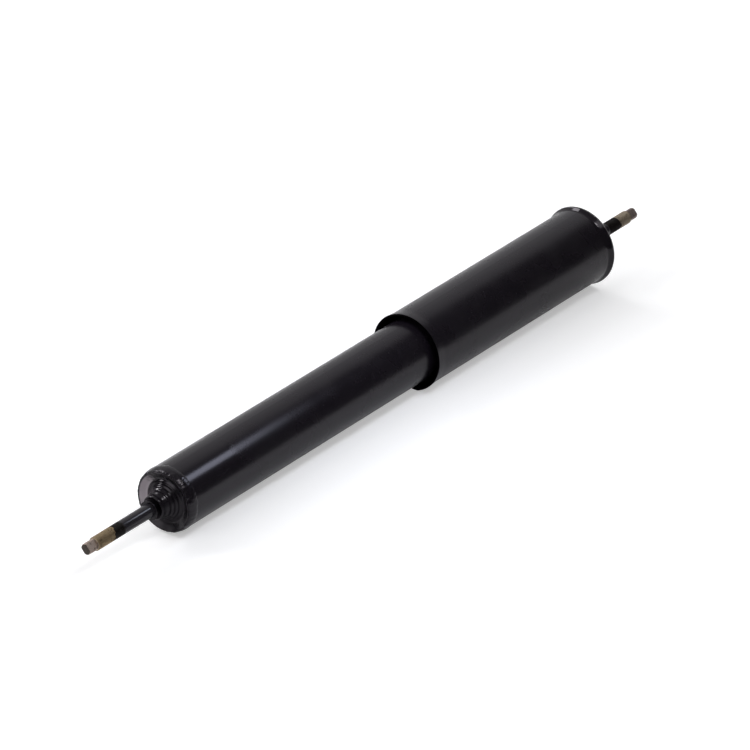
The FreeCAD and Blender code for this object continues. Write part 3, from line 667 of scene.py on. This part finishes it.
# Base valve: a sintered iron plug under the pressure tube, with spring steel discs below it and a check
# disc and star spring above it, all held by one steel rivet. It works in oil, so nothing is painted.
IRON = (0.15, 0.147, 0.143, 1)
IRON_DARK = (0.075, 0.072, 0.070, 1)
SPRING_BLUE = (0.19, 0.20, 0.235, 1)
SPRING_STRAW = (0.25, 0.205, 0.145, 1)
STEEL = (0.36, 0.36, 0.37, 1)
STEEL_OILED = (0.24, 0.235, 0.225, 1)
OIL_FILM = (0.36, 0.68)
MARK_SHADE = (0.2, 0.6, 0.45, 0.0)

# Rings left by the lathe round the axis; Size is their spacing in millimetres
lathe, lathe_in, lathe_out = new_group("lathe_rings", {"Size": 0.15}, ["Height"])
lathe_place = place_on(lathe)
lathe_travel = calc(lathe, "ADD", lathe_place.axes["X"], lathe_place.off_axis)
lathe_way = calc(lathe, "DIVIDE", lathe_travel, lathe_in["Size"])
lathe_noise = add(lathe, "TexNoise", {"W": lathe_way, "Scale": 1, "Detail": 2}, noise_dimensions="1D")
lathe.links.new(lathe_noise.outputs[0], lathe_out["Height"])

# Lines drawn along the axis by a die or by rolling; Size is their width in millimetres
DRAWN_STRETCH = (0.02, 1, 1)
drawn, drawn_in, drawn_out = new_group("drawn_lines", {"Size": 0.2}, ["Height"])
drawn_sides = {0: place_on(drawn).point, 1: DRAWN_STRETCH}
drawn_noise = add(drawn, "TexNoise", {
    "Vector": add(drawn, "VectorMath", drawn_sides, operation="MULTIPLY").outputs[0],
    "Scale": calc(drawn, "DIVIDE", 1.0, drawn_in["Size"]),
})
drawn.links.new(drawn_noise.outputs[0], drawn_out["Height"])

# Open pores of a sintered or filled material, low in Height; Size is in millimetres
PORE_REACH = 0.42
PORE_EDGE = (-0.08, 0.06)
pores, pores_in, pores_out = new_group("open_pores", {"Size": 0.4}, ["Height"])
pore_cells = add(pores, "TexVoronoi", {
    "Vector": place_on(pores).point,
    "Scale": calc(pores, "DIVIDE", 1.0, pores_in["Size"]),
})
pore_draw = add(pores, "SeparateColor", {0: pore_cells.outputs["Color"]}).outputs[0]
pore_wall = calc(pores, "MULTIPLY", pore_draw, PORE_REACH)
pore_off = calc(pores, "SUBTRACT", pore_cells.outputs["Distance"], pore_wall)
pores.links.new(eased(pores, pore_off, *PORE_EDGE), pores_out["Height"])


def bare_finish(name, light, dark, rough, relief, size, depth, metal=1.0):
    """Unpainted material: tool marks or pores in relief, and an uneven film that darkens it in patches."""
    finish, tree, surface = new_finish(name)
    marks = effect(tree, relief, Size=size)
    film = eased(tree, effect(tree, grain, Size=5.0, Detail=4.0), *OIL_FILM)
    colour = blended(tree, film, light, dark)
    colour = blended(tree, eased(tree, marks, *MARK_SHADE), colour, dark)
    tree.links.new(colour, surface.inputs["Base Color"])
    tree.links.new(mixed(tree, film, *rough), surface.inputs["Roughness"])
    surface.inputs["Metallic"].default_value = metal
    raised(tree, surface, marks, depth)
    return finish


sintered_iron = bare_finish("sintered_iron", IRON, IRON_DARK, rough=(0.55, 0.42),
                            relief=pores, size=0.35, depth=0.03)
spring_steel = bare_finish("spring_steel", SPRING_BLUE, SPRING_STRAW, rough=(0.24, 0.32),
                           relief=drawn, size=0.12, depth=0.003)
turned_steel = bare_finish("turned_steel", STEEL, STEEL_OILED, rough=(0.34, 0.26),
                           relief=lathe, size=0.14, depth=0.006)
drawn_steel = bare_finish("drawn_steel", STEEL, STEEL_OILED, rough=(0.36, 0.27),
                          relief=drawn, size=0.25, depth=0.005)
dress(sintered_iron, "base_valve_body")
dress(spring_steel, "base_bleed_discs", "base_check_disc", "base_check_spring")
dress(turned_steel, "base_valve_rivet")

# Pressure tube: a cold-drawn steel tube, honed inside, that the piston runs in. It is held between the
# base valve and the rod guide, and is left bare in the oil.
dress(drawn_steel, "pressure_tube")

# Piston rod: ground and hard-chromed steel, turned down to a spigot for the piston at its foot and to the
# upper stem at its top. The stem is painted with the lid; the end of its thread is bare.
ROD_R = 6.25
SPIGOT_R = 4.0
SPIGOT_THREAD = 9.0
SPIGOT_PITCH = 1.0
SPIGOT_RELIEF = 0.03
SPIGOT_ROUGHNESS = 0.35
SPIGOT_FADE = 0.2
COLLAR_GROOVE = 0.5
COLLAR_PLAY = 0.05
UPPER_BARE = 44.5
UPPER_SLANT = 0.1
UPPER_STEEL = ((0.37, 0.318, 0.250, 1), (0.25, 0.205, 0.188, 1))
CHROME = (0.55, 0.56, 0.58, 1)
CHROME_ROUGHNESS = (0.10, 0.17)
CHROME_FADE = 0.4
GRIND_SIZE = 0.09
GRIND_SPAN = (0.3, 0.7)
UPPER_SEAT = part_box("top_lid")[1].x / MM
LID_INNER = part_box("dust_tube")[1].x / MM
COLLAR_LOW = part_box("stop_collar")[0].x / MM - COLLAR_PLAY
COLLAR_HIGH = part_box("stop_collar")[1].x / MM
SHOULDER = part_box("backing_washer")[1].x / MM
SPIGOT_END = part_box("piston_rod")[0].x / MM
thread_top = SPIGOT_END + SPIGOT_THREAD
spigot = [(place, SPIGOT_R) for place in rings(SPIGOT_END, thread_top, SPIGOT_PITCH / THREAD_RINGS)]
piston_rod = turned("chromed_rod", [
    (SPIGOT_END, 0), *spigot, (SHOULDER, SPIGOT_R), (SHOULDER, ROD_R - EDGE_BREAK),
    (SHOULDER + EDGE_BREAK, ROD_R), (COLLAR_LOW, ROD_R), (COLLAR_LOW, ROD_R - COLLAR_GROOVE),
    (COLLAR_HIGH, ROD_R - COLLAR_GROOVE), (COLLAR_HIGH, ROD_R), (LID_INNER, ROD_R), (LID_INNER, ROOT_R),
    (UPPER_SEAT, ROOT_R), *stem_line(UPPER_SEAT, 1),
])
cut_thread(piston_rod, thread_top, SPIGOT_END, SPIGOT_R - SPIGOT_RELIEF, SPIGOT_PITCH)
cut_stem(piston_rod, UPPER_SEAT, 1)
bpy.ops.object.shade_smooth_by_angle(angle=STEM_SMOOTH)
rod_finish, tree, surface, colour, rough, metal = stem_finish(
    "rod_finish", UPPER_SEAT, 1, UPPER_BARE, UPPER_SLANT, UPPER_STEEL)
along = place_on(tree).axes["X"]
under_lid = fading(tree, along, LID_INNER - CHROME_FADE, LID_INNER)
on_spigot = fading(tree, along, SHOULDER - SPIGOT_FADE, SHOULDER)
ground = effect(tree, lathe, Size=GRIND_SIZE)
chrome_rough = eased(tree, ground, *GRIND_SPAN, *CHROME_ROUGHNESS)
bright = blended(tree, on_spigot, CHROME, STEEL_OILED)
bright_rough = mixed(tree, on_spigot, chrome_rough, SPIGOT_ROUGHNESS)
rod_colour = blended(tree, under_lid, colour, bright)
rod_rough = mixed(tree, under_lid, rough, bright_rough)
end_finish(tree, surface, rod_colour, rod_rough, calc(tree, "MAXIMUM", metal, under_lid))
piston_rod.data.materials.append(rod_finish)
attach(piston_rod, "rod")
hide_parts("piston_rod")

# Piston: a sintered iron disc with two rings of ports, held on the rod's spigot by a lock nut. Spring
# steel discs and a star spring close its ports, and a slit band of bronze-filled plastic runs in the
# pressure tube.
BAND_BROWN = (0.105, 0.072, 0.045, 1)
BAND_DARK = (0.055, 0.036, 0.022, 1)
band_plastic = bare_finish("band_plastic", BAND_BROWN, BAND_DARK, rough=(0.42, 0.52),
                           relief=pores, size=0.22, depth=0.008, metal=0.0)
dress(sintered_iron, "piston")
dress(spring_steel, "blow_off_disc", "blow_off_spring", "rebound_discs")
dress(turned_steel, "backing_washer", "support_washer", "piston_nut")
dress(band_plastic, "piston_band")

# Rebound stop: a steel collar swaged into the rod's groove, and on it a moulded polyurethane ring, which
# stops the rod against the guide when it is pulled right out.
BUFFER_CREAM = (0.52, 0.47, 0.35, 1)
BUFFER_OILED = (0.40, 0.33, 0.21, 1)
buffer_plastic = bare_finish("buffer_plastic", BUFFER_CREAM, BUFFER_OILED, rough=(0.38, 0.48),
                             relief=lathe, size=0.9, depth=0.010, metal=0.0)
dress(turned_steel, "stop_collar")
dress(buffer_plastic, "rebound_buffer")

# Rod guide: sintered iron, located in both tubes, with a rolled bronze-lined bush for the rod and an
# O-ring. The nitrile seal lies on it, under a pressed steel cover, with a garter spring round its lip.
BRONZE = (0.48, 0.33, 0.15, 1)
BRONZE_DARK = (0.26, 0.18, 0.09, 1)
RUBBER = (0.014, 0.014, 0.0145, 1)
RUBBER_BLOOM = (0.030, 0.029, 0.028, 1)
GARTER_TURNS = 144
GARTER_STEPS = 12
GARTER_WIRE = 0.15
GARTER_MERGE = 0.02
garter_low, garter_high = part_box("seal_garter")
GARTER_SECTION = (garter_high.x - garter_low.x) / MM
GARTER_R = garter_high.y / MM - GARTER_SECTION / 2
GARTER_COIL = GARTER_SECTION / 2 - GARTER_WIRE
GARTER_PLACE = (garter_low.x + garter_high.x) / 2
rubber = bare_finish("seal_rubber", RUBBER, RUBBER_BLOOM, rough=(0.48, 0.62),
                     relief=pores, size=0.18, depth=0.004, metal=0.0)
bush_bronze = bare_finish("bush_bronze", BRONZE, BRONZE_DARK, rough=(0.30, 0.40),
                          relief=pores, size=0.25, depth=0.006)
dress(sintered_iron, "rod_guide")
dress(bush_bronze, "guide_bush")
dress(rubber, "guide_ring", "rod_seal")
dress(turned_steel, "seal_cover")
bpy.ops.object.select_all(action="DESELECT")
bpy.ops.curve.primitive_bezier_circle_add(radius=GARTER_R * MM)
garter_line = bpy.context.object
garter_line.data.resolution_u = 64
bpy.ops.object.select_all(action="DESELECT")
bpy.ops.mesh.primitive_circle_add(vertices=8, radius=GARTER_WIRE * MM)
garter = bpy.context.object
garter.name = "garter_coil"
bpy.ops.object.mode_set(mode="EDIT")
bpy.ops.mesh.select_all(action="SELECT")
bpy.ops.transform.translate(value=(0, GARTER_COIL * MM, 0))
bpy.ops.object.mode_set(mode="OBJECT")
modified(garter, "SCREW", axis="X", steps=GARTER_STEPS, render_steps=GARTER_STEPS, iterations=GARTER_TURNS,
         screw_offset=2 * math.pi * GARTER_R * MM / GARTER_TURNS)
modified(garter, "CURVE", object=garter_line, deform_axis="POS_X")
bpy.data.objects.remove(garter_line)
bpy.ops.object.mode_set(mode="EDIT")
bpy.ops.mesh.select_all(action="SELECT")
bpy.ops.transform.rotate(value=math.pi / 2, orient_axis="Y", center_override=(0, 0, 0))
bpy.ops.transform.translate(value=(GARTER_PLACE, 0, 0))
tidy_mesh(GARTER_MERGE)
bpy.ops.object.shade_smooth()
garter.data.materials.append(spring_steel)
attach(garter, "reservoir")
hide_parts("seal_garter")

# Dust tube and top lid: a thin rolled steel tube, flared at both ends and closed by a pressed lid that is
# welded to the rod's shoulder. They are painted together in satin black, glossier on the rim; the cut end
# of the mouth is made near black as painted shade, and the paint is rubbed along the lid's edge.
RUBBED_STEEL = (0.10, 0.096, 0.096, 1)
RUBBED_ROUGHNESS = 0.38
RUBBED_SHARE = 0.7
LID_RUB = 0.5
LID_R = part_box("top_lid")[1].y / MM
dust_low, dust_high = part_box("dust_tube")
RIM_GLOSS = 0.11
RIM_HEIGHT = 4.5
RIM_START = LID_INNER - RIM_HEIGHT
RIM_FADE = 2.0
MOUTH_END = dust_low.x / MM
# Painted shade on the cut end of the mouth, by the gap into the tube
MOUTH_SHADE = (MOUTH_END + 0.05, MOUTH_END + 0.2)

# Paint rubbed through along a round edge; Place is the edge's distance from the axis, and Reach is how
# far the rubbing goes
RUB_EDGE = (0.38, 0.50)
rub, rub_in, rub_out = new_group("rubbed_edge", {"Place": 0.0, "Reach": 1.0}, ["Mask"])
rub_place = place_on(rub)
rub_off = calc(rub, "ABSOLUTE", calc(rub, "SUBTRACT", rub_place.off_axis, rub_in["Place"]))
rub_near = calc(rub, "SUBTRACT", 1.0, calc(rub, "DIVIDE", rub_off, rub_in["Reach"]))
rub_broken = add(rub, "TexNoise", {
    "Vector": rub_place.point,
    "Scale": 0.26,
    "Detail": 5,
    "Roughness": 0.65,
})
rub_share = calc(rub, "MULTIPLY", calc(rub, "MAXIMUM", rub_near, 0.0), rub_broken.outputs[0])
rub.links.new(eased(rub, rub_share, *RUB_EDGE), rub_out["Mask"])


def rim_gloss(tree):
    """Glossier paint on the flared rim round the lid."""
    return eased(tree, place_on(tree).axes["X"], RIM_START - RIM_FADE, RIM_START), None, RIM_GLOSS


def mouth_painted_shade(tree):
    """Painted shade: near black on the cut end of the tube's mouth."""
    return fading(tree, place_on(tree).axes["X"], *MOUTH_SHADE)


def lid_rub(tree):
    """Paint rubbed along the outer edge of the lid."""
    worn = effect(tree, rub, Place=LID_R, Reach=LID_RUB)
    return calc(tree, "MULTIPLY", worn, RUBBED_SHARE), RUBBED_STEEL, RUBBED_ROUGHNESS


dress(black_paint("cover_paint", rim_gloss, painted_shade=mouth_painted_shade), "dust_tube")
dress(black_paint("lid_paint", rim_gloss, lid_rub), "top_lid")
dress(weld_paint, "rod_weld")

# Studio: the absorber lies on a pale floor, on its foot weld and the rim of its lid, in soft light from a
# pale backdrop, from above and from small softboxes round it, with a painted dark reflection that the
# paint mirrors.
FLOOR_SPAN = 40.0
FLOOR_TONE = (0.80, 0.80, 0.80, 1)
FLOOR_GLOW = 0.43
FLOOR_GLOSS = 0.25
# Painted dark reflection: glossy rays alone see the floor's front in this dim colour
FLOOR_DIM = (0.05, 0.05, 0.05, 1)
FLOOR_FRONT = (-0.46, -0.37)
LID_REST = 1.0
SKY_TINT = (0.98, 0.98, 1.0, 1)
SKY_BASE = 0.06
# Each glow in the sky: azimuth, elevation, where it starts and where it is full in degrees, and its level
SKY_GLOWS = (
    (46, 22, 52, 32, 0.57),
    (0, 90, 40, 22, 0.22),
    (113, 31, 10, 5, 9.0),
    (95, 33, 9, 4, 15.0),
    (83, 49, 10, 5, 7.0),
    (-70, 62, 9, 4, 13.0),
    (-104, 60, 12, 6, 2.0),
    (168, 38, 26, 10, 2.0),
)
foot_rest = Vector((WELD_MIDDLE * MM, 0, -WELD_TOP * MM))
lid_rest = Vector((dust_high.x + LID_REST * MM, 0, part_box("top_lid")[0].z))
floor_tilt = math.atan2(foot_rest.z - lid_rest.z, lid_rest.x - foot_rest.x)
bpy.ops.object.select_all(action="DESELECT")
bpy.ops.mesh.primitive_plane_add(size=FLOOR_SPAN, location=foot_rest, rotation=(0, floor_tilt, 0))
floor = bpy.context.object
floor.name = "floor"
floor_finish, tree, surface = new_finish("floor_white")
surface.inputs["Roughness"].default_value = 1.0
surface.inputs["Specular IOR Level"].default_value = 0.0
rays = add(tree, "LightPath").outputs
mirrored = calc(tree, "MULTIPLY", rays["Is Glossy Ray"], FLOOR_GLOSS)
seen = calc(tree, "MAXIMUM", rays["Is Camera Ray"], mirrored)
seen = calc(tree, "MAXIMUM", seen, rays["Is Transmission Ray"])
floor_axes = add(tree, "SeparateXYZ", {0: add(tree, "TexCoord").outputs["Object"]}).outputs
# Painted dark reflection: the floor beyond its front edge turns dim for glossy rays only
dim = calc(tree, "MULTIPLY", fading(tree, floor_axes["Y"], *FLOOR_FRONT), rays["Is Glossy Ray"])
glow = calc(tree, "MULTIPLY", seen, mixed(tree, dim, FLOOR_GLOW, 0.0))
tree.links.new(blended(tree, dim, FLOOR_TONE, FLOOR_DIM), surface.inputs["Base Color"])
surface.inputs["Emission Color"].default_value = (1, 1, 1, 1)
tree.links.new(glow, surface.inputs["Emission Strength"])
floor.data.materials.append(floor_finish)


def heading(azimuth, elevation):
    """Unit vector for a direction in degrees, azimuth from +X towards +Y."""
    turn, rise = math.radians(azimuth), math.radians(elevation)
    return Vector((math.cos(turn) * math.cos(rise), math.sin(turn) * math.cos(rise), math.sin(rise)))


studio = bpy.data.worlds.new("studio")
bpy.context.scene.world = studio
studio.use_nodes = True
tree = studio.node_tree
looking = add(tree, "TexCoord").outputs["Generated"]
sky = SKY_BASE
for azimuth, elevation, outer, inner, level in SKY_GLOWS:
    near = add(tree, "VectorMath", {0: looking, 1: heading(azimuth, elevation)}, operation="DOT_PRODUCT")
    rim, core = math.cos(math.radians(outer)), math.cos(math.radians(inner))
    sky = calc(tree, "ADD", sky, eased(tree, near.outputs["Value"], rim, core, 0.0, level))
tree.links.new(sky, tree.nodes["Background"].inputs["Strength"])
tree.nodes["Background"].inputs["Color"].default_value = SKY_TINT

# Strip light: a small softbox over the foot that draws the bright line on the reservoir tube. It is a
# little blue, and the camera doesn't see the lamp itself.
STRIP_AWAY = 0.35
STRIP_SIZE = (0.110, 0.085)
STRIP_POWER = 0.175
STRIP_TINT = (0.86, 0.93, 1.10)
STRIP_TARGET = (31 * MM, -14.15 * MM, 18.7 * MM)
STRIP_WAY = (0.686, -0.326, 0.650)
strip = bpy.data.lights.new("strip_light", "AREA")
strip.shape = "RECTANGLE"
strip.size, strip.size_y = STRIP_SIZE
strip.energy = STRIP_POWER
strip.color = STRIP_TINT
strip_lamp = bpy.data.objects.new("strip_light", strip)
bpy.context.scene.collection.objects.link(strip_lamp)
strip_way = Vector(STRIP_WAY).normalized()
strip_long = (Vector((1, 0, 0)) - strip_way * strip_way.x).normalized()
strip_axes = Matrix((strip_long, strip_way.cross(strip_long), strip_way))
strip_lamp.location = Vector(STRIP_TARGET) + strip_way * STRIP_AWAY
strip_lamp.rotation_mode = "QUATERNION"
strip_lamp.rotation_quaternion = strip_axes.transposed().to_quaternion()
strip_lamp.visible_camera = False

# Camera: a long lens some four metres away, low over the foot end, that looks along the absorber from its
# left front. Its direction, distance and roll come from the edges of the tubes and the mouth's ellipse.
CAMERA_AZIMUTH = -52.98
CAMERA_ELEVATION = 27.88
CAMERA_AWAY = 4.311
CAMERA_LENS = 292.7
CAMERA_SENSOR = 36
CAMERA_CLIP = (0.1, 100)
CAMERA_OFFSET = (-22.15 * MM, -16.11 * MM)
CAMERA_ROLL = 0.0030
turn, rise = math.radians(CAMERA_AZIMUTH), math.radians(CAMERA_ELEVATION)
back = Vector((math.sin(turn) * math.cos(rise), -math.cos(turn) * math.cos(rise), math.sin(rise)))
right = Vector((math.cos(turn), math.sin(turn), 0))
lens = bpy.data.cameras.new("camera")
lens.sensor_width = CAMERA_SENSOR
lens.lens = CAMERA_LENS
lens.clip_start, lens.clip_end = CAMERA_CLIP
camera = bpy.data.objects.new("camera", lens)
bpy.context.scene.collection.objects.link(camera)
mouth = Vector((dust_low.x, 0, 0))
camera.location = (mouth + back * CAMERA_AWAY + right * CAMERA_OFFSET[0]
                   + back.cross(right) * CAMERA_OFFSET[1])
camera.rotation_mode = "QUATERNION"
camera.rotation_quaternion = (-back).to_track_quat("-Z", "Y") @ Quaternion((0, 0, 1), CAMERA_ROLL)
bpy.context.scene.camera = camera
bpy.context.scene.view_settings.view_transform = "Standard"
